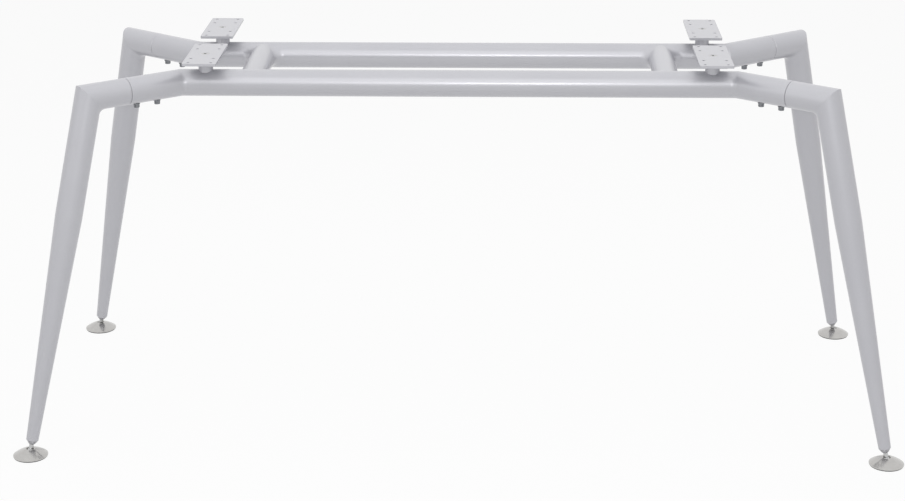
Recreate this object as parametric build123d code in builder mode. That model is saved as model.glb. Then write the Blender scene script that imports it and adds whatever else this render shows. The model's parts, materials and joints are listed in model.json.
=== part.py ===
"""Four-leg table base of welded round steel tube, with screw-in levelling feet.

Millimetres, +Z up. The origin is on the floor, under the middle of the base. X runs along the beams.
"""
import os
from collections import namedtuple
from math import cos, radians, sin, sqrt

from build123d import *

os.makedirs("parts", exist_ok=True)

# Overall layout
base_height = 695  # floor to the top of the mounting plates
beam_straight = 996  # straight middle of a beam, from bend to bend
beam_spacing = 220  # between the axes of the two beams
cross_setback = 123  # bend to the axis of a cross tube, along the beam
arm_angle = 38  # how far the arms turn outwards from the beam, in plan
arm_length = 185  # bend to leg corner, along the axis
stub_length = 74  # horizontal top of the leg, from the bolted joint to the leg corner
leg_lean = 14  # from the vertical, in the plane of the arm

# Tubes
tube_od = 48
tube_wall = 2
cross_step = 1  # the cross tubes' surface lies this much inside the beams' surface
leg_straight = 215  # leg corner to the start of the taper, along the leg
leg_end_od = 22  # leg tube at its lower end
leg_end_height = 24  # floor to the underside of the leg's end plug, on the leg axis
weld_gap = 0.1  # room for weld metal at a saddle cut

# Mounting plates, and the posts that hold them above the beams
post_setback = 45  # bend to the axis of a post, along the beam
post_od = 26
post_height = 24.5  # beam's crest to the underside of the plate
plate_width = 60
plate_length = 160
plate_thickness = 4.5
plate_corner_radius = 3
plate_hole_d = 5.5
plate_hole_edge = 10  # edge of the plate to the middle of its outer holes
plate_pitch_inner = 75
plate_screw_d = 8
plate_screw_head_d = 15.6
plate_screw_length = 20
plate_screw_key = 5  # across the flats of the hexagon socket
plate_screw_key_depth = 3.2
countersink_recess = 0.2  # screw head below the plate's top

# Bolted joint between beam arm and leg
spigot_wall = 6
spigot_in_arm = 84
spigot_in_stub = 34
spigot_lead = 2
slip_clearance = 0.15
seam_chamfer = 0.8
bolt_setbacks = (19, 60)  # joint seam to each bolt
bolt_d = 6
bolt_head_d = 10
bolt_head_height = 6
bolt_length = 16
bolt_key = 5
bolt_key_depth = 3
bolt_hole_d = 6.6
washer_od = 12.5
washer_thickness = 1.6
seat_gap = 0.05  # under a washer or a bolt head
thread_clearance = 0.1

# Leg end plug
plug_depth = 14  # inside the leg tube
plug_nose = 8  # below the leg tube
plug_nose_cone = 7  # height of the nose's cone
plug_nose_end_od = 12

# Levelling foot
foot_od = 62
foot_rim = 1.8  # height of the cover's upright edge
cover_wall = 1.6
cover_crown = 1  # how far the cover's slope bulges
ball_d = 13
ball_clearance = 0.3
stem_d = 8
stem_engagement = 32  # thread above the underside of the end plug
stem_point = 1
spanner_flats = 7  # across the two flats on the stem
spanner_length = 5
spanner_standoff = 1.5  # between the ball's top and the flats
socket_lip = 3  # ball centre to the narrowest part of the socket
socket_depth = 3  # ball centre to the socket's lower edge
funnel_depth = 2.6  # narrowest part of the socket to the top of the cover
funnel_flare = 0.9  # how much wider the hole is at the top of the cover
collar_wall = 2.4
pad_thickness = 3.6
pad_proud = 2  # pad showing below the cover
pad_inset = 0.8  # cover's edge to the pad's edge
pad_under_ball = 2.6
pad_clearance = 0.2
pad_edge = 0.6

# Sizes that follow
tube_r = tube_od / 2
bore_r = tube_r - tube_wall
joint_at = arm_length - stub_length
cross_spacing = beam_straight - 2 * cross_setback
post_spacing = beam_straight - 2 * post_setback
post_top = base_height - plate_thickness
beam_axis_height = post_top - post_height - tube_r
plate_pitch_x = plate_width - 2 * plate_hole_edge
plate_pitch_outer = plate_length - 2 * plate_hole_edge
ball_r = ball_d / 2
socket_r = ball_r + ball_clearance
pivot_height = pad_under_ball + socket_r
collar_top = pivot_height + socket_lip + funnel_depth
leg_slope = cos(radians(leg_lean))
leg_length = (beam_axis_height - leg_end_height) / leg_slope
leg_tube_end = leg_length - plug_nose
pivot_distance = (beam_axis_height - pivot_height) / leg_slope
beam_underside = beam_axis_height - tube_r
up = Vector(0, 0, 1)

Corner = namedtuple("Corner", "name bend along_beam arm_dir corner leg_dir side_dir pivot")


def corner_frame(name, side_x, side_y):
    """The axis points and directions of one beam arm, its leg and its foot."""
    along_beam = Vector(side_x, 0, 0)
    arm_dir = Vector(side_x * cos(radians(arm_angle)), side_y * sin(radians(arm_angle)), 0)
    bend = Vector(side_x * beam_straight / 2, side_y * beam_spacing / 2, beam_axis_height)
    corner = bend + arm_dir * arm_length
    leg_dir = arm_dir * sin(radians(leg_lean)) - up * leg_slope
    side_dir = up.cross(arm_dir)
    pivot = corner + leg_dir * pivot_distance
    return Corner(name, bend, along_beam, arm_dir, corner, leg_dir, side_dir, pivot)


def bend_plane(c):
    """The mitre between a beam and its arm, facing the arm."""
    return Plane(origin=c.bend, z_dir=c.along_beam + c.arm_dir)


def leg_plane(c):
    """The mitre between a leg's stub and its long tube, facing down the leg."""
    return Plane(origin=c.corner, z_dir=c.arm_dir + c.leg_dir)


def section_plane(origin, axis_dir, side_dir):
    """A plane for half sections: X away from the axis, Y along it."""
    return Plane(origin=origin, x_dir=side_dir, z_dir=side_dir.cross(axis_dir))


def bolt_plane(c, height):
    """A plane under the arm, facing down, with X along the arm from the bend."""
    origin = Vector(c.bend.X, c.bend.Y, height)
    return Plane(origin=origin, x_dir=c.arm_dir, z_dir=-up)


def round_bar(start, direction, length, diameter):
    """A solid round bar from a point along a direction."""
    with BuildPart() as bar:
        with BuildSketch(Plane(origin=start, z_dir=direction)):
            Circle(diameter / 2)
        extrude(amount=length)
    return bar.part


def round_tube(start, direction, length, diameter, wall):
    """A round tube from a point along a direction."""
    with BuildPart() as tube:
        with BuildSketch(Plane(origin=start, z_dir=direction)):
            Circle(diameter / 2)
            Circle(diameter / 2 - wall, mode=Mode.SUBTRACT)
        extrude(amount=length)
    return tube.part


def beam_envelope(side_y):
    """The round space that a beam's straight middle fills, with room for weld metal."""
    start = Vector(-beam_straight / 2, side_y * beam_spacing / 2, beam_axis_height)
    return round_bar(start, Vector(1, 0, 0), beam_straight, tube_od + 2 * weld_gap)


def outer_end(builder):
    """The outer edge of a tube's square end, or of the larger of its square ends."""
    return builder.edges().filter_by(GeomType.CIRCLE).sort_by(SortBy.RADIUS)[-1]


def save(builder, name):
    """Label a finished piece and write its STEP file."""
    builder.part.label = name
    export_step(builder.part, f"parts/{name}.step")


sides_x = {"left": -1, "right": 1}
sides_y = {"front": -1, "rear": 1}
corners = [
    corner_frame(f"{depth}_{side}", side_x, side_y)
    for depth, side_y in sides_y.items()
    for side, side_x in sides_x.items()
]
bolt_places = [(joint_at - setback, 0) for setback in bolt_setbacks]

# Beams: the straight middle tubes, mitred at both bends
for depth in sides_y:
    left, right = [c for c in corners if c.name.startswith(depth)]
    with BuildPart() as beam_tube:
        start = left.bend - Vector(tube_od, 0, 0)
        add(round_tube(start, Vector(1, 0, 0), beam_straight + 2 * tube_od, tube_od, tube_wall))
        split(bisect_by=bend_plane(left), keep=Keep.BOTTOM)
        split(bisect_by=bend_plane(right), keep=Keep.BOTTOM)
    save(beam_tube, f"{depth}_beam_tube")

# Cross tubes, saddle cut to the beams at both ends
for side, side_x in sides_x.items():
    with BuildPart() as cross_tube:
        start = Vector(side_x * cross_spacing / 2, -beam_spacing / 2, beam_axis_height)
        add(round_tube(start, Vector(0, 1, 0), beam_spacing, tube_od - 2 * cross_step, tube_wall))
        add(beam_envelope(-1), mode=Mode.SUBTRACT)
        add(beam_envelope(1), mode=Mode.SUBTRACT)
    save(cross_tube, f"{side}_cross_tube")

# Arms, stubs and spigots of the four bolted joints
for c in corners:
    seam = c.bend + c.arm_dir * joint_at

    with BuildPart() as arm_tube:
        add(round_tube(c.bend - c.arm_dir * tube_od, c.arm_dir, tube_od + joint_at, tube_od, tube_wall))
        split(bisect_by=bend_plane(c), keep=Keep.TOP)
        chamfer(outer_end(arm_tube), seam_chamfer)
        with BuildSketch(bolt_plane(c, beam_axis_height)):
            with Locations(*bolt_places):
                Circle(bolt_hole_d / 2)
        extrude(amount=tube_od, mode=Mode.SUBTRACT)
    save(arm_tube, f"{c.name}_arm_tube")

    with BuildPart() as leg_stub:
        add(round_tube(seam, c.arm_dir, stub_length + tube_od, tube_od, tube_wall))
        split(bisect_by=leg_plane(c), keep=Keep.BOTTOM)
        chamfer(outer_end(leg_stub), seam_chamfer)
    save(leg_stub, f"{c.name}_leg_stub")

    with BuildPart() as spigot:
        start = seam - c.arm_dir * spigot_in_arm
        length = spigot_in_arm + spigot_in_stub
        add(round_tube(start, c.arm_dir, length, 2 * (bore_r - slip_clearance), spigot_wall))
        rims = spigot.edges().filter_by(GeomType.CIRCLE).group_by(SortBy.RADIUS)[-1]
        chamfer(rims, spigot_lead)
        with BuildSketch(bolt_plane(c, beam_axis_height)):
            with Locations(*bolt_places):
                Circle(bolt_d / 2 + thread_clearance)
        extrude(amount=tube_od, mode=Mode.SUBTRACT)
    save(spigot, f"{c.name}_leg_spigot")

# Joint bolts and their washers, up through the underside of the arms
washer_seat = beam_underside - seat_gap
head_seat = washer_seat - washer_thickness - seat_gap

with BuildPart() as joint_washers:
    for c in corners:
        with BuildSketch(bolt_plane(c, washer_seat)):
            with Locations(*bolt_places):
                Circle(washer_od / 2)
                Circle(bolt_hole_d / 2, mode=Mode.SUBTRACT)
        extrude(amount=washer_thickness)
save(joint_washers, "joint_washers")

with BuildPart() as joint_bolts:
    for c in corners:
        seat = bolt_plane(c, head_seat)
        with BuildSketch(seat):
            with Locations(*bolt_places):
                Circle(bolt_d / 2)
        extrude(amount=-bolt_length)
        with BuildSketch(seat):
            with Locations(*bolt_places):
                Circle(bolt_head_d / 2)
        extrude(amount=bolt_head_height)
        with BuildSketch(seat.offset(bolt_head_height)):
            with Locations(*bolt_places):
                RegularPolygon(bolt_key / 2, 6, major_radius=False)
        extrude(amount=-bolt_key_depth, mode=Mode.SUBTRACT)
save(joint_bolts, "joint_bolts")

# Posts and mounting plates
for c in corners:
    post_x = c.along_beam.X * post_spacing / 2
    foot_of_post = Vector(post_x, c.bend.Y, beam_axis_height)
    top_of_post = Vector(post_x, c.bend.Y, post_top)
    top_of_plate = Vector(post_x, c.bend.Y, base_height)

    with BuildPart() as mount_post:
        add(round_bar(foot_of_post, up, post_top - beam_axis_height, post_od))
        add(beam_envelope(-1), mode=Mode.SUBTRACT)
        add(beam_envelope(1), mode=Mode.SUBTRACT)
        with Locations(top_of_post):
            Hole(plate_screw_d / 2 + thread_clearance, depth=plate_screw_length - plate_thickness)
    save(mount_post, f"{c.name}_mount_post")

    with BuildPart() as mount_plate:
        with BuildSketch(Plane(origin=top_of_post)):
            RectangleRounded(plate_width, plate_length, plate_corner_radius)
            with GridLocations(plate_pitch_x, plate_pitch_inner, 2, 2):
                Circle(plate_hole_d / 2, mode=Mode.SUBTRACT)
            with GridLocations(plate_pitch_x, plate_pitch_outer, 2, 2):
                Circle(plate_hole_d / 2, mode=Mode.SUBTRACT)
        extrude(amount=plate_thickness)
        with Locations(top_of_plate):
            CounterSinkHole(
                plate_screw_d / 2 + thread_clearance,
                plate_screw_head_d / 2 + countersink_recess + thread_clearance,
                counter_sink_angle=90,
            )
    save(mount_plate, f"{c.name}_mount_plate")

# Countersunk screws that hold the plates to the posts
with BuildPart() as plate_screws:
    screw_r = plate_screw_d / 2
    head_r = plate_screw_head_d / 2
    for c in corners:
        head_centre = Vector(c.along_beam.X * post_spacing / 2, c.bend.Y, base_height - countersink_recess)
        with BuildSketch(section_plane(head_centre, -up, Vector(1, 0, 0))):
            with BuildLine():
                Polyline(
                    (0, 0),
                    (head_r, 0),
                    (screw_r, head_r - screw_r),
                    (screw_r, plate_screw_length - countersink_recess - seat_gap),
                    (0, plate_screw_length - countersink_recess - seat_gap),
                    close=True,
                )
            make_face()
        revolve(axis=Axis(head_centre, -up))
        with BuildSketch(Plane(origin=head_centre)):
            RegularPolygon(plate_screw_key / 2, 6, major_radius=False)
        extrude(amount=-plate_screw_key_depth, mode=Mode.SUBTRACT)
save(plate_screws, "plate_screws")

# Leg tubes and end plugs, turned about the leg axis
leg_end_r = leg_end_od / 2
for c in corners:
    leg_axis = Axis(c.corner, c.leg_dir)
    leg_section = section_plane(c.corner, c.leg_dir, c.side_dir)

    with BuildPart() as leg_tube:
        with BuildSketch(leg_section):
            with BuildLine():
                Polyline(
                    (bore_r, -tube_od),
                    (tube_r, -tube_od),
                    (tube_r, leg_straight),
                    (leg_end_r, leg_tube_end),
                    (leg_end_r - tube_wall, leg_tube_end),
                    (bore_r, leg_straight),
                    close=True,
                )
            make_face()
        revolve(axis=leg_axis)
        split(bisect_by=leg_plane(c), keep=Keep.TOP)
    save(leg_tube, f"{c.name}_leg_tube")

    with BuildPart() as end_plug:
        plug_r = leg_end_r - tube_wall - weld_gap
        plug_bore = stem_d / 2 + thread_clearance
        with BuildSketch(leg_section):
            with BuildLine():
                Polyline(
                    (plug_bore, leg_tube_end - plug_depth),
                    (plug_r, leg_tube_end - plug_depth),
                    (plug_r, leg_tube_end),
                    (leg_end_r, leg_tube_end),
                    (leg_end_r, leg_length - plug_nose_cone),
                    (plug_nose_end_od / 2, leg_length),
                    (plug_bore, leg_length),
                    close=True,
                )
            make_face()
        revolve(axis=leg_axis)
    save(end_plug, f"{c.name}_leg_end_plug")

# Levelling feet: a ball stem in line with the leg, and a cover and pad that lie flat
stem_top = pivot_distance - leg_length + stem_engagement
stem_start = sqrt(ball_r**2 - (stem_d / 2) ** 2)
spanner_start = ball_r + spanner_standoff
mouth_r = sqrt(socket_r**2 - socket_lip**2)
skirt_r = sqrt(socket_r**2 - socket_depth**2)
collar_r = socket_r + collar_wall
rim_r = foot_od / 2
rim_top = pad_proud + foot_rim
slope_middle = (collar_r + rim_r) / 2
slope_height = (collar_top + rim_top) / 2 + cover_crown
pad_r = rim_r - cover_wall - pad_clearance
flange_r = rim_r - pad_inset
flange_top = pad_proud - pad_clearance
seat_edge = socket_depth + pad_clearance
seat_r = sqrt(socket_r**2 - seat_edge**2)

for c in corners:
    with BuildPart() as foot_stem:
        with BuildSketch(section_plane(c.pivot, -c.leg_dir, c.side_dir)):
            with BuildLine():
                ThreePointArc((0, -ball_r), (ball_r, 0), (stem_d / 2, stem_start))
                Polyline(
                    (stem_d / 2, stem_start),
                    (stem_d / 2, stem_top - stem_point),
                    (stem_d / 2 - stem_point, stem_top),
                    (0, stem_top),
                    (0, -ball_r),
                )
            make_face()
        revolve(axis=Axis(c.pivot, -c.leg_dir))
        with BuildSketch(Plane(origin=c.pivot - c.leg_dir * spanner_start, x_dir=c.side_dir, z_dir=-c.leg_dir)):
            Rectangle(2 * stem_d, 2 * stem_d)
            Rectangle(2 * stem_d, spanner_flats, mode=Mode.SUBTRACT)
        extrude(amount=spanner_length, mode=Mode.SUBTRACT)
    save(foot_stem, f"{c.name}_foot_stem")

    floor_point = Vector(c.pivot.X, c.pivot.Y, 0)
    foot_section = section_plane(floor_point, up, c.side_dir)

    with BuildPart() as foot_cover:
        with BuildSketch(foot_section):
            with BuildLine():
                Polyline(
                    (mouth_r, pivot_height + socket_lip),
                    (mouth_r + funnel_flare, collar_top),
                    (collar_r, collar_top),
                )
                ThreePointArc((collar_r, collar_top), (slope_middle, slope_height), (rim_r, rim_top))
                Polyline(
                    (rim_r, rim_top),
                    (rim_r, pad_proud),
                    (rim_r - cover_wall, pad_proud),
                    (rim_r - cover_wall, rim_top),
                )
                ThreePointArc(
                    (rim_r - cover_wall, rim_top),
                    (slope_middle, slope_height - cover_wall),
                    (collar_r, collar_top - cover_wall),
                )
                Polyline(
                    (collar_r, collar_top - cover_wall),
                    (collar_r, pivot_height - socket_depth),
                    (skirt_r, pivot_height - socket_depth),
                )
                ThreePointArc(
                    (skirt_r, pivot_height - socket_depth),
                    (socket_r, pivot_height),
                    (mouth_r, pivot_height + socket_lip),
                )
            make_face()
        revolve(axis=Axis(floor_point, up))
    save(foot_cover, f"{c.name}_foot_cover")

    with BuildPart() as foot_pad:
        with BuildSketch(foot_section):
            with BuildLine():
                Polyline(
                    (0, pad_under_ball),
                    (0, 0),
                    (flange_r - pad_edge, 0),
                    (flange_r, pad_edge),
                    (flange_r, flange_top),
                    (pad_r, flange_top),
                    (pad_r, pad_thickness),
                    (collar_r, pad_thickness),
                    (collar_r, pivot_height - seat_edge),
                    (seat_r, pivot_height - seat_edge),
                )
                seat_middle = seat_r / 2
                ThreePointArc(
                    (seat_r, pivot_height - seat_edge),
                    (seat_middle, pivot_height - sqrt(socket_r**2 - seat_middle**2)),
                    (0, pad_under_ball),
                )
            make_face()
        revolve(axis=Axis(floor_point, up))
    save(foot_pad, f"{c.name}_foot_pad")
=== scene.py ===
# %% [markdown]
# Dressing a four-leg table base
#
# The base is a frame of round steel tube, powder coated silver: two long beams with arms that turn
# outwards, two cross tubes, four plates that carry the top, and four leaning legs on levelling feet.
# Its solids arrive as a fixed frame, where every tube, plate and foot already has its true size and
# place. This lesson adds what a drawing leaves out: weld fillets, open joint seams, screw threads,
# the knurling of the screw heads, and finishes that answer to the light.

# %% Load the fixed frame
import json
import math

import bmesh
import bpy
from mathutils import Matrix, Vector


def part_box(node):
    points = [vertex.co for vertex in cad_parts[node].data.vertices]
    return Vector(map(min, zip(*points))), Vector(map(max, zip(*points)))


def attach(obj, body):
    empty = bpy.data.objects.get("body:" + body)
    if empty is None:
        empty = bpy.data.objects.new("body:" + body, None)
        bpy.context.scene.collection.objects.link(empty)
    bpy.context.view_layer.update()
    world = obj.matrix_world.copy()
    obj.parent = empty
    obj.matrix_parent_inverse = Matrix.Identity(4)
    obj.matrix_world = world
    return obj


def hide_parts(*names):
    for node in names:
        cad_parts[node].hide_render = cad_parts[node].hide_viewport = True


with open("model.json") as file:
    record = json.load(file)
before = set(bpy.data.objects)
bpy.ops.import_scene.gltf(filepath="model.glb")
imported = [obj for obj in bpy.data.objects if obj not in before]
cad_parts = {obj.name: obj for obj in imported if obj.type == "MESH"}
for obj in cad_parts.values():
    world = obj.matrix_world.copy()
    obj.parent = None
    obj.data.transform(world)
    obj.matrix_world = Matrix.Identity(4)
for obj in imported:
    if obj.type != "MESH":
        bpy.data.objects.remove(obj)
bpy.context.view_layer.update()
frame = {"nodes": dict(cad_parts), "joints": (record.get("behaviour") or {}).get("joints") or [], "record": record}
mm = 0.001

# %% [markdown]
# Places
#
# The welds and threads have to lie exactly on the tubes and stems, so their places come from the
# frame and not from a second drawing. The boxes of the beams and cross tubes give axes and radii.
# Each foot's two joints give the rest: the levelling joint runs along the leg, and the tilting joint
# sits in the middle of the ball, so together they fix the leg's line in space.

# %% Find the axes of the tubes
corners = ["front_left", "front_right", "rear_left", "rear_right"]
joints = {joint["name"]: joint for joint in frame["joints"]}
up = Vector((0, 0, 1))


def middle_and_half(node):
    """The middle of a node's box and half its size along each axis."""
    low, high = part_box(node)
    return (low + high) / 2, (high - low) / 2


beam_middle, beam_half = middle_and_half("front_beam_tube")
tube_r = beam_half.z
beam_z = beam_middle.z

leg_way, arm_way, beam_way, ball_middle, leg_corner, beam_bend = {}, {}, {}, {}, {}, {}
for corner in corners:
    leg_way[corner] = Vector(joints[f"{corner}_level"]["axis"]).normalized()
    arm_way[corner] = leg_way[corner].copy()
    arm_way[corner].z = 0
    arm_way[corner].normalize()
    beam_way[corner] = Vector((math.copysign(1, arm_way[corner].x), 0, 0))
    ball_middle[corner] = Vector(joints[f"{corner}_tilt"]["pos_m"])
    climb = (beam_z - ball_middle[corner].z) / -leg_way[corner].z
    leg_corner[corner] = ball_middle[corner] - leg_way[corner] * climb
    half_turn = beam_way[corner].angle(arm_way[corner]) / 2
    beam = middle_and_half(f"{corner.split('_')[0]}_beam_tube")[0]
    beam_bend[corner] = beam + beam_way[corner] * (beam_half.x - tube_r * math.tan(half_turn))
print("tube diameter in mm:", round(2 * tube_r / mm, 2),
      "arm length in mm:", round((leg_corner[corners[0]] - beam_bend[corners[0]]).length / mm, 1))

# %% [markdown]
# Helpers for node trees
#
# Materials and Geometry Nodes are both graphs of nodes, so the same two functions serve for both:
# one fills a node's inputs with constants or links, and one adds a node and fills it. Colours are
# given as sRGB hex values, while Blender's shaders count in linear light, so a third
# function does that conversion once for all. A Mix node has sockets for several kinds of data under
# the same names, so those are found by number.

# %% Helpers for nodes and colours
colour_a, colour_b, colour_out = 6, 7, 2
vector_a, vector_b, vector_out = 4, 5, 1


def fill_inputs(tree, node, inputs):
    """Sets each named input to a constant, or links it if the value is a socket."""
    for name, value in inputs.items():
        if isinstance(value, bpy.types.NodeSocket):
            tree.links.new(value, node.inputs[name])
        else:
            node.inputs[name].default_value = value


def add_node(tree, kind, inputs=None, **settings):
    """Adds one node, sets its properties, and fills or links its inputs."""
    node = tree.nodes.new(kind)
    for name, value in settings.items():
        setattr(node, name, value)
    fill_inputs(tree, node, inputs or {})
    return node


def linear(hex_colour):
    """An sRGB hex colour as linear red, green, blue and alpha."""
    parts = [int(hex_colour[i:i + 2], 16) / 255 for i in (1, 3, 5)]
    return [c / 12.92 if c <= 0.04045 else ((c + 0.055) / 1.055) ** 2.4 for c in parts] + [1.0]


print("mid grey is", round(linear("#808080")[0], 3), "in linear light")

# %% [markdown]
# A start for every finish
#
# Each finish begins the same way: a new material with its Principled shader, and the Object
# coordinates that patterns read. Object coordinates are in metres here, so a pattern that repeats
# every few millimetres has a scale of one over that size. In all the finishes below, noise breaks up
# colour and gloss, and a Bump node turns a pattern into tiny slopes that the light picks out.

# %% A new finish


def new_finish(name):
    """An empty material with its tree, its shader node and its Object coordinates."""
    material = bpy.data.materials.new(name)
    material.use_nodes = True
    tree = material.node_tree
    shader = tree.nodes["Principled BSDF"]
    place = add_node(tree, "ShaderNodeTexCoord").outputs["Object"]
    return material, tree, shader, place


# Noise mostly stays between these two values, so a Map Range reads it from here to there.
noise_low, noise_high = 0.3, 0.7
print("noise is read from", noise_low, "to", noise_high)

# %% [markdown]
# Silver powder coat
#
# The tubes and plates carry a baked powder coat with aluminium flake in it. It is a satin finish: a
# lamp shows in it as a soft band, and close up the skin has a faint orange peel. A part metallic
# shader with a thin clear coat gives both the broad flake glow and the sharper skin highlight, and
# slow noise keeps a long tube from looking like one flat tone.

# %% Silver powder coat


def silver_powder_coat():
    """Aluminium-flake powder coat: pale cool grey, satin, with fine orange peel."""
    material, tree, shader, place = new_finish("silver powder coat")
    flow_size = 90 * mm
    # Real flakes are far smaller than 0.1 mm; 1.2 mm lets them show close up.
    flake_size = 1.2 * mm
    flake_share = 0.06
    # Real orange peel is about 1 mm across; 2.5 mm is as fine as the render can show.
    peel_size = 2.5 * mm
    peel_depth = 0.015 * mm
    flow = add_node(tree, "ShaderNodeTexNoise", {"Vector": place, "Scale": 1 / flow_size})
    flake = add_node(tree, "ShaderNodeTexNoise", {"Vector": place, "Scale": 1 / flake_size, "Detail": 1.0})
    peel = add_node(tree, "ShaderNodeTexNoise", {"Vector": place, "Scale": 1 / peel_size})
    tint = add_node(tree, "ShaderNodeMix",
                    {"Factor": flow.outputs[0], colour_a: linear("#BBBBC1"), colour_b: linear("#C1C1C6")},
                    data_type="RGBA")
    sparkle = add_node(tree, "ShaderNodeMix",
                       {"Factor": flake_share, colour_a: tint.outputs[colour_out],
                        colour_b: flake.outputs[0]}, data_type="RGBA")
    gloss = add_node(tree, "ShaderNodeMapRange",
                     {"Value": flow.outputs[0], "From Min": noise_low, "From Max": noise_high,
                      "To Min": 0.30, "To Max": 0.36})
    skin = add_node(tree, "ShaderNodeBump",
                    {"Height": peel.outputs[0], "Distance": peel_depth, "Strength": 1.0})
    fill_inputs(tree, shader, {"Base Color": sparkle.outputs[colour_out], "Metallic": 0.34,
                               "Roughness": gloss.outputs[0], "Coat Weight": 0.3, "Coat Roughness": 0.15,
                               "Normal": skin.outputs[0]})
    return material


silver = silver_powder_coat()
print("made", silver.name)

# %% [markdown]
# Plated steel
#
# The small parts are steel with different plating. The joint screws and washers are a dull grey
# zinc, the foot stems and plate screws a bright zinc, and the spigots inside the joints are bare.
# Zinc is fully metallic and a little cloudy, since its crystals grow in patches, so one noise drives
# colour and roughness together.

# %% Zinc and bare steel


def plated_steel(name, dark, pale, cloud, smooth, rough):
    """Metal with cloudy patches that shift both its colour and its roughness."""
    material, tree, shader, place = new_finish(name)
    # Real plating has a finer grain; a quarter of a cloud still shows close up.
    grain_size = cloud / 4
    grain_depth = 0.01 * mm
    patches = add_node(tree, "ShaderNodeTexNoise", {"Vector": place, "Scale": 1 / cloud, "Detail": 4.0})
    grain = add_node(tree, "ShaderNodeTexNoise", {"Vector": place, "Scale": 1 / grain_size})
    tint = add_node(tree, "ShaderNodeMix",
                    {"Factor": patches.outputs[0], colour_a: linear(dark), colour_b: linear(pale)},
                    data_type="RGBA")
    gloss = add_node(tree, "ShaderNodeMapRange",
                     {"Value": patches.outputs[0], "From Min": noise_low, "From Max": noise_high,
                      "To Min": smooth, "To Max": rough})
    skin = add_node(tree, "ShaderNodeBump",
                    {"Height": grain.outputs[0], "Distance": grain_depth, "Strength": 1.0})
    fill_inputs(tree, shader, {"Base Color": tint.outputs[colour_out], "Metallic": 1.0,
                               "Roughness": gloss.outputs[0], "Normal": skin.outputs[0]})
    return material


grey_zinc = plated_steel("grey zinc plate", "#75777B", "#9A9CA0", cloud=3 * mm, smooth=0.22, rough=0.36)
bright_zinc = plated_steel("bright zinc plate", "#B4B5B7", "#CBCBC9", cloud=4 * mm, smooth=0.18, rough=0.3)
drawn_steel = plated_steel("bare drawn steel", "#7D7C79", "#979693", cloud=8 * mm, smooth=0.35, rough=0.5)
print("made", grey_zinc.name, bright_zinc.name, drawn_steel.name)

# %% [markdown]
# Polished nickel-chrome
#
# The foot covers are spun from sheet and polished on the lathe, so they mirror the room with fine
# rings round the stem. Nickel under thin chrome looks slightly warm next to zinc. The rings have to
# be centred on each foot, so each cover gets its own copy of the finish with a Mapping node that
# carries the foot's middle to the origin. Fine rings blur a mirror across themselves and not along
# themselves, so each highlight becomes a streak that runs out from the stem; the anisotropic shader
# does the same when its tangent points outwards.

# %% Polished nickel-chrome


def polished_nickel(corner):
    """Lathe-polished plating: a near mirror, slightly warm, with faint rings round the stem."""
    material, tree, shader, place = new_finish(f"polished nickel-chrome, {corner.replace('_', ' ')} foot")
    # Polishing rings are far finer than a pixel; 0.9 mm apart they still show close up.
    ring_pitch = 0.9 * mm
    ring_depth = 0.003 * mm
    smear_size = 9 * mm
    # A wave texture of scale 1 repeats every tau / 20 metres.
    wave_repeat = math.tau / 20
    centred = add_node(tree, "ShaderNodeMapping", {"Vector": place, "Location": -ball_middle[corner]})
    level = add_node(tree, "ShaderNodeVectorMath", {0: centred.outputs[0], 1: (1, 1, 0)},
                     operation="MULTIPLY")
    outward = add_node(tree, "ShaderNodeVectorTransform", {"Vector": level.outputs["Vector"]},
                       vector_type="VECTOR", convert_from="OBJECT", convert_to="WORLD")
    rings = add_node(tree, "ShaderNodeTexWave",
                     {"Vector": centred.outputs[0], "Scale": wave_repeat / ring_pitch},
                     wave_type="RINGS", rings_direction="Z")
    smear = add_node(tree, "ShaderNodeTexNoise", {"Vector": place, "Scale": 1 / smear_size, "Detail": 3.0})
    tint = add_node(tree, "ShaderNodeMix",
                    {"Factor": smear.outputs[0], colour_a: linear("#B7B5B3"), colour_b: linear("#C7C6C4")},
                    data_type="RGBA")
    gloss = add_node(tree, "ShaderNodeMapRange",
                     {"Value": smear.outputs[0], "From Min": noise_low, "From Max": noise_high,
                      "To Min": 0.16, "To Max": 0.24})
    skin = add_node(tree, "ShaderNodeBump",
                    {"Height": rings.outputs["Fac"], "Distance": ring_depth, "Strength": 1.0})
    fill_inputs(tree, shader, {"Base Color": tint.outputs[colour_out], "Metallic": 1.0,
                               "Roughness": gloss.outputs[0], "Anisotropic": 0.8,
                               "Tangent": outward.outputs["Vector"], "Normal": skin.outputs[0]})
    return material


nickel = {corner: polished_nickel(corner) for corner in corners}
print("made", len(nickel), "foot finishes")

# %% [markdown]
# Black plastic
#
# Under each cover sits a moulded pad, a hard black plastic with the fine spark-eroded grain of its
# mould. It is not a metal, so the shader has a plastic's index of refraction, and only the roughness
# and the grain set its look.

# %% Black moulded plastic


def moulded_plastic():
    """Black nylon, matt, with mould grain."""
    material, tree, shader, place = new_finish("black moulded nylon")
    # Real mould grain is about 0.1 mm; 0.8 mm lets it show close up.
    grain_size = 0.8 * mm
    grain_depth = 0.03 * mm
    grain = add_node(tree, "ShaderNodeTexNoise", {"Vector": place, "Scale": 1 / grain_size})
    tint = add_node(tree, "ShaderNodeMix",
                    {"Factor": grain.outputs[0], colour_a: linear("#1A1A1C"), colour_b: linear("#26262A")},
                    data_type="RGBA")
    gloss = add_node(tree, "ShaderNodeMapRange",
                     {"Value": grain.outputs[0], "From Min": noise_low, "From Max": noise_high,
                      "To Min": 0.5, "To Max": 0.62})
    skin = add_node(tree, "ShaderNodeBump",
                    {"Height": grain.outputs[0], "Distance": grain_depth, "Strength": 1.0})
    fill_inputs(tree, shader, {"Base Color": tint.outputs[colour_out], "Roughness": gloss.outputs[0],
                               "IOR": 1.53, "Normal": skin.outputs[0]})
    return material


black_nylon = moulded_plastic()
print("made", black_nylon.name)

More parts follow.
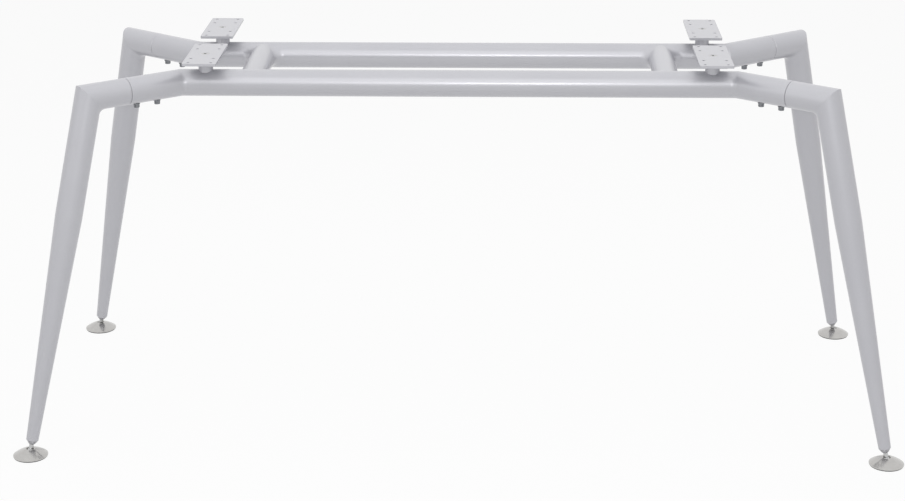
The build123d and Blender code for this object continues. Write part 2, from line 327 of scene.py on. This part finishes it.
# %% [markdown]
# Paint the solids
#
# The record names a finish slot for each solid, so one loop can dress them all. The covers are the
# one exception, since each has its own centred copy.

# %% Give every solid its finish
finish_of_slot = {
    "silver_paint": silver,
    "fastener_steel": grey_zinc,
    "spigot_steel": drawn_steel,
    "stem_zinc": bright_zinc,
    "pad_plastic": black_nylon,
}
for part in frame["record"]["subparts"]:
    node_name = part["node"]
    if part["material_slot"] == "foot_chrome":
        finish = nickel[node_name.removesuffix("_foot_cover")]
    else:
        finish = finish_of_slot[part["material_slot"]]
    solid = frame["nodes"][node_name]
    solid.data.materials.clear()
    solid.data.materials.append(finish)

# %% [markdown]
# Running a node tree
#
# Geometry Nodes build what follows a path or repeats. A tree runs as a modifier on a host mesh, and
# its named inputs carry the sizes. The finished piece must not depend on a live modifier, so the
# result is copied to a plain mesh and the modifier goes. Outward faces and crisp edges are settled
# on that mesh, since merging points can leave faces turned either way.

# %% Helpers for shape trees
merge_distance = 0.002 * mm
crisp_angle = math.radians(40)


def new_object(name, data):
    """A new object in the scene that holds this mesh, lamp or camera."""
    thing = bpy.data.objects.new(name, data)
    bpy.context.scene.collection.objects.link(thing)
    return thing


def new_shape_tree(name, sizes):
    """A Geometry Nodes tree with named size inputs, a material input and its input node."""
    tree = bpy.data.node_groups.new(name, "GeometryNodeTree")
    tree.interface.new_socket("Geometry", in_out="OUTPUT", socket_type="NodeSocketGeometry")
    tree.interface.new_socket("Geometry", in_out="INPUT", socket_type="NodeSocketGeometry")
    for size, kind in sizes.items():
        tree.interface.new_socket(size, in_out="INPUT", socket_type=f"NodeSocket{kind}")
    tree.interface.new_socket("Finish", in_out="INPUT", socket_type="NodeSocketMaterial")
    return tree, add_node(tree, "NodeGroupInput").outputs


def end_shape_tree(tree, geometry, finish):
    """Closes a tree: real geometry instead of instances, smooth faces and the finish."""
    real = add_node(tree, "GeometryNodeRealizeInstances", {"Geometry": geometry})
    smooth = add_node(tree, "GeometryNodeSetShadeSmooth", {"Geometry": real.outputs["Geometry"]})
    painted = add_node(tree, "GeometryNodeSetMaterial",
                       {"Geometry": smooth.outputs["Geometry"], "Material": finish})
    add_node(tree, "NodeGroupOutput", {"Geometry": painted.outputs["Geometry"]})


def grow(name, host_mesh, tree, finish, sizes):
    """Runs the tree on a host mesh and keeps the outcome as an object with a plain mesh."""
    host = new_object(name, host_mesh)
    modifier = host.modifiers.new("shape", "NODES")
    modifier.node_group = tree
    inputs = {item.name: item.identifier for item in tree.interface.items_tree if item.in_out == "INPUT"}
    modifier[inputs["Finish"]] = finish
    for size, value in sizes.items():
        modifier[inputs[size]] = value
    depsgraph = bpy.context.evaluated_depsgraph_get()
    plain = bpy.data.meshes.new_from_object(host.evaluated_get(depsgraph), depsgraph=depsgraph)
    host.modifiers.remove(modifier)
    host.data = plain
    return host


def tidy_mesh(mesh):
    """Merges doubles, turns the faces outwards and keeps sharply bent edges crisp."""
    work = bmesh.new()
    work.from_mesh(mesh)
    bmesh.ops.remove_doubles(work, verts=work.verts, dist=merge_distance)
    bmesh.ops.dissolve_degenerate(work, edges=work.edges, dist=merge_distance)
    bmesh.ops.recalc_face_normals(work, faces=work.faces)
    work.to_mesh(mesh)
    work.free()
    mesh.set_sharp_from_angle(angle=crisp_angle)


print("tree helpers ready")

# %% [markdown]
# Weld fillets
#
# Where two tubes meet, the welder lays a seam and grinds it, and the paint rounds it off further.
# A bead swept along the joint would stand up like a worm, so the fillet is made as a ball would
# make it: roll a ball along the corner so that it always touches both tubes, and fill what lies
# under it. A host mesh carries one point per station, the ball's middle, with the directions to the
# two tubes and the root of the corner. The tree lays a grid over the stations and bends it, at each
# station, into the arc between the two touching points, closed by the root.

# %% The weld tree


def weld_tree():
    """A tree that fills the corner between two tubes along a track of ball positions."""
    tree, given = new_shape_tree("weld fillet", {"Weld radius": "Float", "Arc points": "Int"})
    stations = add_node(tree, "GeometryNodeAttributeDomainSize", {"Geometry": given["Geometry"]})
    station_count = stations.outputs["Point Count"]
    closing_rows = 2.0
    row_count = add_node(tree, "ShaderNodeMath", {0: given["Arc points"], 1: closing_rows}, operation="ADD")
    grid = add_node(tree, "GeometryNodeMeshGrid",
                    {"Vertices X": row_count.outputs[0], "Vertices Y": station_count})
    index = add_node(tree, "GeometryNodeInputIndex").outputs["Index"]
    station = add_node(tree, "ShaderNodeMath", {0: index, 1: station_count},
                       operation="MODULO").outputs[0]
    rows_down = add_node(tree, "ShaderNodeMath", {0: index, 1: station_count}, operation="DIVIDE")
    row = add_node(tree, "ShaderNodeMath", {0: rows_down.outputs[0]}, operation="FLOOR").outputs[0]

    def at_station(field):
        """A field of the host, read at the station of each grid point."""
        return add_node(tree, "GeometryNodeSampleIndex",
                        {"Geometry": given["Geometry"], "Value": field, "Index": station},
                        data_type="FLOAT_VECTOR", domain="POINT").outputs["Value"]

    def carried(name):
        """A named vector of the host, read in the same way."""
        named = add_node(tree, "GeometryNodeInputNamedAttribute", {"Name": name},
                         data_type="FLOAT_VECTOR")
        return at_station(named.outputs["Attribute"])

    ball = at_station(add_node(tree, "GeometryNodeInputPosition").outputs["Position"])
    first_row = add_node(tree, "ShaderNodeMath", {0: row, 1: 1.0}, operation="SUBTRACT").outputs[0]
    steps = add_node(tree, "ShaderNodeMath", {0: given["Arc points"], 1: 1.0},
                     operation="SUBTRACT").outputs[0]
    along = add_node(tree, "ShaderNodeMath", {0: first_row, 1: steps}, operation="DIVIDE").outputs[0]
    toward = add_node(tree, "ShaderNodeMix",
                      {"Factor": along, vector_a: carried("toward_first"),
                       vector_b: carried("toward_second")}, data_type="VECTOR").outputs[vector_out]
    unit = add_node(tree, "ShaderNodeVectorMath", {0: toward}, operation="NORMALIZE").outputs["Vector"]
    reach = add_node(tree, "ShaderNodeVectorMath", {0: unit, "Scale": given["Weld radius"]},
                     operation="SCALE").outputs["Vector"]
    arc = add_node(tree, "ShaderNodeVectorMath", {0: ball, 1: reach}, operation="ADD").outputs["Vector"]
    # The first and last rows lie outside the arc, so both go to the root and close the section. The
    # limit is half the arc and a little more, to allow for rounding.
    just_outside = 0.505
    from_middle = add_node(tree, "ShaderNodeMath", {0: along, 1: 0.5}, operation="SUBTRACT").outputs[0]
    distance = add_node(tree, "ShaderNodeMath", {0: from_middle}, operation="ABSOLUTE").outputs[0]
    outside = add_node(tree, "ShaderNodeMath", {0: distance, 1: just_outside},
                       operation="GREATER_THAN").outputs[0]
    place = add_node(tree, "GeometryNodeSwitch",
                     {"Switch": outside, "False": arc, "True": carried("root")},
                     input_type="VECTOR").outputs["Output"]
    shaped = add_node(tree, "GeometryNodeSetPosition",
                      {"Geometry": grid.outputs["Mesh"], "Position": place})
    closed = add_node(tree, "GeometryNodeMergeByDistance",
                      {"Geometry": shaped.outputs["Geometry"], "Distance": merge_distance})
    end_shape_tree(tree, closed.outputs["Geometry"], given["Finish"])
    return tree


weld_shape = weld_tree()
print("weld tree has", len(weld_shape.nodes), "nodes")

# %% [markdown]
# Tracks for the ball
#
# Two tubes of one size that meet in a mitre share an ellipse, and so do the larger tubes on which
# the ball's middle runs, so the track is that ellipse. It covers the hollow half of the bend and
# thins out to nothing at the sides. Where a tube stands square on another, the track runs all the
# way round it, and its height follows from the circle of the tube below.

# %% Helpers for the tracks
root_depth = 1.0 * mm
arc_points = 9


def weld_piece(name, stations, weld_r):
    """Runs the weld tree over stations of ball middle, two directions and root."""
    mesh = bpy.data.meshes.new(name)
    mesh.from_pydata([station[0] for station in stations], [], [])
    for column, attribute in ((1, "toward_first"), (2, "toward_second"), (3, "root")):
        layer = mesh.attributes.new(attribute, "FLOAT_VECTOR", "POINT")
        for item, station in zip(layer.data, stations):
            item.vector = station[column]
    piece = grow(name, mesh, weld_shape, silver, {"Weld radius": weld_r, "Arc points": arc_points})
    tidy_mesh(piece.data)
    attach(piece, "frame")


def mitre_track(corner_point, way_in, way_out, weld_r, count=49):
    """Stations over the hollow half of a mitre between two tubes of the same radius."""
    inner = (way_out - way_in).normalized()
    across = way_in.cross(way_out).normalized()
    stretch = 1 / way_in.dot((way_in + way_out).normalized())
    stations = []
    for step in range(count):
        turn = math.pi * (step / (count - 1) - 0.5)
        spoke = across * math.sin(turn) + inner * (math.cos(turn) * stretch)
        from_corner = spoke * (tube_r + weld_r)
        toward = [(way * from_corner.dot(way) - from_corner).normalized() for way in (way_in, way_out)]
        root = corner_point + spoke * (tube_r - root_depth)
        stations.append((corner_point + from_corner, *toward, root))
    return stations


def saddle_track(foot, main_way, branch_way, branch_r, weld_r, count=97):
    """Stations round a tube that stands square on a beam, foot being where the axes cross."""
    across = main_way.cross(branch_way).normalized()
    stations = []
    for step in range(count):
        turn = math.tau * step / (count - 1)
        spoke = main_way * math.cos(turn) + across * math.sin(turn)

        def on_both(branch, main):
            """The point on this spoke where tubes of these two radii meet."""
            rise = math.sqrt(main ** 2 - (branch * math.sin(turn)) ** 2)
            return spoke * branch + branch_way * rise

        ball = on_both(branch_r + weld_r, tube_r + weld_r)
        toward_beam = (main_way * ball.dot(main_way) - ball).normalized()
        root = on_both(branch_r - root_depth, tube_r - root_depth)
        stations.append((foot + ball, -spoke, toward_beam, foot + root))
    return stations


print("track helpers ready")

# %% [markdown]
# Lay the welds
#
# The arms are ground almost smooth into the beams, so their fillet is wide and shallow. The leg
# corners keep a smaller rounding inside the knee. The cross tubes flare into the beams with an even
# fillet all round.

# %% Welds at the bends and the leg corners
bend_weld_r = 18 * mm
knee_weld_r = 14 * mm
for corner in corners:
    bend_track = mitre_track(beam_bend[corner], beam_way[corner], arm_way[corner], bend_weld_r)
    weld_piece(f"{corner}_bend_weld", bend_track, bend_weld_r)
    knee_track = mitre_track(leg_corner[corner], arm_way[corner], leg_way[corner], knee_weld_r)
    weld_piece(f"{corner}_knee_weld", knee_track, knee_weld_r)
print("bend and knee welds:", 2 * len(corners))

# %% Welds round the cross tubes
cross_weld_r = 18 * mm
along_beam = Vector((1, 0, 0))
cross_sides = ("left", "right")
inward_of_beam = {"front": 1, "rear": -1}
for side in cross_sides:
    cross_middle, cross_half = middle_and_half(f"{side}_cross_tube")
    for end, inward in inward_of_beam.items():
        beam = middle_and_half(f"{end}_beam_tube")[0]
        foot = Vector((cross_middle.x, beam.y, beam_z))
        track = saddle_track(foot, along_beam, Vector((0, inward, 0)), cross_half.x, cross_weld_r)
        weld_piece(f"{side}_cross_{end}_weld", track, cross_weld_r)
print("cross tube welds:", len(cross_sides) * len(inward_of_beam))

# %% [markdown]
# The joint seams
#
# Arm and leg stub are sawn, deburred and painted apart before they are bolted together, so where they
# meet a fine dark line runs round the tube. The solids meet face to face there, with chamfers that
# catch the light. A copy of each tube whose end stands back a little leaves a true gap between the
# chamfers, and the dark of the line is then simply the depth of that gap.

# %% Open the joint seams
seam_gap = 0.6 * mm
seam_zone = 1 * mm


def stand_back(node, way_out):
    """Puts a copy in a tube's place whose joint end, with its chamfer, stands back by half the gap."""
    mesh = frame["nodes"][node].data.copy()
    # The stored normals belong to the untouched solid, so the copy works out its own.
    mesh.attributes.remove(mesh.attributes["custom_normal"])
    end = max(vertex.co.dot(way_out) for vertex in mesh.vertices)
    for vertex in mesh.vertices:
        if end - vertex.co.dot(way_out) < seam_zone:
            vertex.co -= way_out * (seam_gap / 2)
    mesh.shade_smooth()
    tidy_mesh(mesh)
    piece = new_object(f"{node}_open_seam", mesh)
    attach(piece, "frame")
    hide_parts(node)


for corner in corners:
    stand_back(f"{corner}_arm_tube", arm_way[corner])
    stand_back(f"{corner}_leg_stub", -arm_way[corner])
print("open seams:", len(corners))

# %% [markdown]
# The foot stems
#
# Each stem is turned from round bar: a ball that snaps into the foot, a plain shank with two flats
# for a spanner, and a threaded rod. All of that is one skin round one axis, so rings of points are
# enough. Where the flats lie, each point moves in to the nearer of the bar's surface and the flat.

# %% The outline and skin of a stem
ball_r = 6.5 * mm
ball_rings = 20
stem_r = 4 * mm
spanner_start = 8 * mm
spanner_end = 13 * mm
flat_r = 3.5 * mm
thread_pitch = 1.25 * mm
thread_depth = thread_pitch / 2
thread_runout = 0.6 * mm
point_length = 1 * mm


def stem_outline(stem_top):
    """Height, radius and half width of the stem's rings from the foot of the ball to the top."""
    ball_end = math.acos(stem_r / ball_r)
    ball_sweep = ball_end + math.pi / 2
    turns = [ball_end - ball_sweep * (1 - step / ball_rings) for step in range(1, ball_rings + 1)]
    rings = [(ball_r * math.sin(turn), ball_r * math.cos(turn), ball_r) for turn in turns]
    core_r = stem_r - thread_depth
    thread_start = spanner_end + thread_runout
    rings += [(spanner_start, stem_r, stem_r), (spanner_start, stem_r, flat_r),
              (spanner_end, stem_r, flat_r), (spanner_end, stem_r, stem_r),
              (thread_start, stem_r, stem_r), (thread_start + thread_depth, core_r, stem_r),
              (stem_top - point_length, core_r, stem_r), (stem_top, core_r - point_length, stem_r)]
    return rings


def turned_skin(rings, sides=72):
    """A closed mesh through the rings, cut back to their half width along Y."""
    mesh = bpy.data.meshes.new("stem")
    points, faces = [], []
    for height, radius, half_width in rings:
        for step in range(sides):
            turn = math.tau * step / sides
            deep = max(-half_width, min(half_width, radius * math.sin(turn)))
            points.append((radius * math.cos(turn), deep, height))
    for ring in range(len(rings) - 1):
        for step in range(sides):
            here, after = ring * sides + step, ring * sides + (step + 1) % sides
            faces.append((here, after, after + sides, here + sides))
    last = (len(rings) - 1) * sides
    faces.append(tuple(reversed(range(sides))))
    faces.append(tuple(range(last, last + sides)))
    mesh.from_pydata(points, [], faces)
    mesh.shade_smooth()
    return mesh


print("thread depth in mm:", round(thread_depth / mm, 3))

# %% Turn the stems
stem_place, stem_top = {}, {}
for corner in corners:
    rise = -leg_way[corner]
    across = up.cross(arm_way[corner])
    turn_up = Matrix((across, rise.cross(across), rise)).transposed().to_4x4()
    stem_place[corner] = Matrix.Translation(ball_middle[corner]) @ turn_up
    cad_stem = frame["nodes"][f"{corner}_foot_stem"]
    stem_top[corner] = max((v.co - ball_middle[corner]).dot(rise) for v in cad_stem.data.vertices)
    mesh = turned_skin(stem_outline(stem_top[corner]))
    tidy_mesh(mesh)
    mesh.transform(stem_place[corner])
    mesh.materials.append(bright_zinc)
    stem = new_object(f"{corner}_turned_stem", mesh)
    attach(stem, f"{corner}_stem")
    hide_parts(f"{corner}_foot_stem")
print("stem length above the ball's middle in mm:", round(stem_top[corners[0]] / mm, 1))

# %% [markdown]
# The thread
#
# A metric thread is one ridge wound round the rod. Geometry Nodes has a spiral curve, and a small
# square on its corner, swept along that spiral, gives the ridge its two flanks. The square's middle
# runs on the surface of the rod's core, so its inner half is buried in the rod.

# %% Wind the threads
points_per_turn = 32
square_corners = 4


def thread_tree():
    """A tree that sweeps a square on its corner along a spiral."""
    sizes = {"Turns": "Float", "Track radius": "Float", "Length": "Float", "Ridge": "Float"}
    tree, given = new_shape_tree("thread ridge", sizes)
    spiral = add_node(tree, "GeometryNodeCurveSpiral",
                      {"Resolution": points_per_turn, "Rotations": given["Turns"],
                       "Start Radius": given["Track radius"], "End Radius": given["Track radius"],
                       "Height": given["Length"]})
    upright = add_node(tree, "GeometryNodeSetCurveNormal", {"Curve": spiral.outputs["Curve"]},
                       mode="Z_UP")
    square = add_node(tree, "GeometryNodeCurvePrimitiveCircle",
                      {"Resolution": square_corners, "Radius": given["Ridge"]}, mode="RADIUS")
    ridge = add_node(tree, "GeometryNodeCurveToMesh",
                     {"Curve": upright.outputs["Curve"], "Profile Curve": square.outputs["Curve"],
                      "Fill Caps": True})
    end_shape_tree(tree, ridge.outputs["Mesh"], given["Finish"])
    return tree


thread_shape = thread_tree()
for corner in corners:
    thread_start = spanner_end + thread_runout + thread_depth
    thread_length = stem_top[corner] - point_length - thread_pitch - thread_start
    host = bpy.data.meshes.new("thread host")
    thread = grow(f"{corner}_stem_thread", host, thread_shape, bright_zinc,
                  {"Turns": thread_length / thread_pitch, "Track radius": stem_r - thread_depth,
                   "Length": thread_length, "Ridge": thread_depth})
    tidy_mesh(thread.data)
    thread.data.transform(stem_place[corner] @ Matrix.Translation((0, 0, thread_start)))
    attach(thread, f"{corner}_stem")
print("turns of thread:", round(thread_length / thread_pitch, 1))

# %% [markdown]
# Knurled screw heads
#
# The joint screws are socket head cap screws, whose heads are knurled so that fingers can start
# them. One ridge, set upright round a circle, makes a ring, and the ring is set on every screw.
# Both steps are instances, so the tree stays small however many ridges there are.

# %% Knurl the joint screws
stub_length = 74 * mm
screw_setbacks = (19 * mm, 60 * mm)
screw_head_r = 5 * mm
plain_rim = 1 * mm
knurl_height = 4.2 * mm
knurl_r = 0.24 * mm
knurl_sides = 6
knurl_count = 36


def knurl_tree():
    """A tree that sets a ring of upright ridges on every point of the host."""
    sizes = {"Head radius": "Float", "Ridge radius": "Float", "Ridge height": "Float", "Ridges": "Int"}
    tree, given = new_shape_tree("knurled heads", sizes)
    circle = add_node(tree, "GeometryNodeCurvePrimitiveCircle",
                      {"Resolution": given["Ridges"], "Radius": given["Head radius"]}, mode="RADIUS")
    spots = add_node(tree, "GeometryNodeCurveToPoints", {"Curve": circle.outputs["Curve"]},
                     mode="EVALUATED")
    ridge = add_node(tree, "GeometryNodeMeshCylinder",
                     {"Vertices": knurl_sides, "Radius": given["Ridge radius"],
                      "Depth": given["Ridge height"]})
    ring = add_node(tree, "GeometryNodeInstanceOnPoints",
                    {"Points": spots.outputs["Points"], "Instance": ridge.outputs["Mesh"]})
    rings = add_node(tree, "GeometryNodeInstanceOnPoints",
                     {"Points": given["Geometry"], "Instance": ring.outputs["Instances"]})
    end_shape_tree(tree, rings.outputs["Instances"], given["Finish"])
    return tree


head_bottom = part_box("joint_bolts")[0].z
head_points = []
for corner in corners:
    for setback in screw_setbacks:
        spot = leg_corner[corner] - arm_way[corner] * (stub_length + setback)
        head_points.append((spot.x, spot.y, head_bottom + plain_rim + knurl_height / 2))
host = bpy.data.meshes.new("screw heads")
host.from_pydata(head_points, [], [])
knurls = grow("joint_screw_knurls", host, knurl_tree(), grey_zinc,
              {"Head radius": screw_head_r, "Ridge radius": knurl_r, "Ridge height": knurl_height,
               "Ridges": knurl_count})
tidy_mesh(knurls.data)
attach(knurls, "frame")
print("knurled heads:", len(head_points), "faces:", len(knurls.data.polygons))

# %% [markdown]
# Floor and surroundings
#
# A product picture like this is taken on white: a pale floor that runs out of sight in a white room.
# The floor keeps its shadow, but most of what the camera sees of it is plain white, and reflections
# see the same, so the paint and the chrome mirror a white room without it lighting them too much.

# %% White floor
floor_half = 40.0
floor_white = 0.92


def white_to_eye(tree, amount):
    """The socket of a factor: amount for camera, mirror and see-through rays, and 0 for light."""
    path = add_node(tree, "ShaderNodeLightPath").outputs
    seen = add_node(tree, "ShaderNodeMath",
                    {0: path["Is Camera Ray"], 1: path["Is Glossy Ray"]}, operation="MAXIMUM")
    seen = add_node(tree, "ShaderNodeMath",
                    {0: seen.outputs[0], 1: path["Is Transmission Ray"]}, operation="MAXIMUM")
    return add_node(tree, "ShaderNodeMath", {0: seen.outputs[0], 1: amount},
                    operation="MULTIPLY").outputs[0]


floor_paint = bpy.data.materials.new("white studio floor")
floor_paint.use_nodes = True
tree = floor_paint.node_tree
tree.nodes.clear()
matt = add_node(tree, "ShaderNodeBsdfDiffuse", {"Color": linear("#E6E6E6")})
glow = add_node(tree, "ShaderNodeEmission", {"Color": linear("#FFFFFF"), "Strength": 1.0})
mixed = add_node(tree, "ShaderNodeMixShader",
                 {0: white_to_eye(tree, floor_white), 1: matt.outputs["BSDF"], 2: glow.outputs["Emission"]})
add_node(tree, "ShaderNodeOutputMaterial", {"Surface": mixed.outputs[0]})
floor_mesh = bpy.data.meshes.new("studio floor")
floor_corners = [(-1, -1, 0), (1, -1, 0), (1, 1, 0), (-1, 1, 0)]
floor_mesh.from_pydata(floor_corners, [], [(0, 1, 2, 3)])
floor_mesh.transform(Matrix.Scale(floor_half, 4))
floor_mesh.materials.append(floor_paint)
floor = new_object("studio floor", floor_mesh)
print("floor in m:", 2 * floor_half, "square")

# %% White room
room_level = 0.42
room_white = 1.0
world = bpy.data.worlds.new("white studio")
world.use_nodes = True
bpy.context.scene.world = world
tree = world.node_tree
tree.nodes.clear()
room_light = add_node(tree, "ShaderNodeBackground", {"Color": linear("#FFFFFF"), "Strength": room_level})
room_look = add_node(tree, "ShaderNodeBackground", {"Color": linear("#FFFFFF"), "Strength": room_white})
mixed = add_node(tree, "ShaderNodeMixShader",
                 {0: white_to_eye(tree, 1.0), 1: room_light.outputs[0], 2: room_look.outputs[0]})
add_node(tree, "ShaderNodeOutputWorld", {"Surface": mixed.outputs[0]})
print("the room lights at", room_level, "and looks", room_white)

# %% [markdown]
# Camera
#
# The picture was taken from a little right of the middle, looking down about 19 degrees with a long
# lens. Position, heading and lens were found by laying the base's known edges over the photograph,
# so the render and the photograph share one frame.

# %% Camera
image_width = 905
focal_pixels = 1998.6
camera_place = Vector((103.5, -3594.8, 1511.3)) * mm
heading, dip, roll = (math.radians(angle) for angle in (1.887, 18.777, -0.208))
lens = bpy.data.cameras.new("studio camera")
lens.sensor_width = 36
lens.sensor_fit = "HORIZONTAL"
lens.lens = focal_pixels * lens.sensor_width / image_width
camera = new_object("studio camera", lens)
look_round = Matrix.Rotation(heading, 4, "Z")
look_down = Matrix.Rotation(math.pi / 2 - dip, 4, "X")
aim = look_round @ look_down @ Matrix.Rotation(roll, 4, "Z")
camera.matrix_world = Matrix.Translation(camera_place) @ aim
bpy.context.scene.camera = camera
bpy.context.scene.view_settings.view_transform = "Standard"
print("lens in mm:", round(lens.lens, 2))

# %% [markdown]
# Lamps
#
# Four lamps light the base. A large softbox overhead gives soft shadows under the plates; it stays
# out of reflections, where the white room already is. A front softbox hangs between the camera and
# the base, and its reflection brightens the upper half of each beam towards the middle. A weaker one
# at the left lifts the legs on that side. A small flash above the lens draws the narrow bright line
# along the beams.

# %% Lamps


def softbox(name, place, width, height, radiance, mirrored):
    """Adds a soft light aimed at the beams; mirrored says whether reflections show it."""
    lamp = bpy.data.lights.new(name, "AREA")
    lamp.shape = "RECTANGLE"
    lamp.size = width
    lamp.size_y = height
    lamp.energy = radiance * math.pi * width * height
    box = new_object(name, lamp)
    box.location = place
    box.rotation_euler = (Vector((0, 0, beam_z)) - box.location).to_track_quat("-Z", "Y").to_euler()
    box.visible_camera = False
    box.visible_glossy = mirrored


softbox("overhead softbox", (0, -0.2, 2.9), width=5.0, height=3.4, radiance=1.05, mirrored=False)
softbox("front softbox", (-0.3, -2.46, 2.36), width=4.0, height=2.2, radiance=0.8, mirrored=True)
softbox("left softbox", (-3.2, -2.6, 2.0), width=2.2, height=2.2, radiance=0.3, mirrored=True)
above_lens = camera_place + Vector((0, -0.05, 0.08))
softbox("camera flash", above_lens, width=0.3, height=0.1, radiance=125.0, mirrored=True)
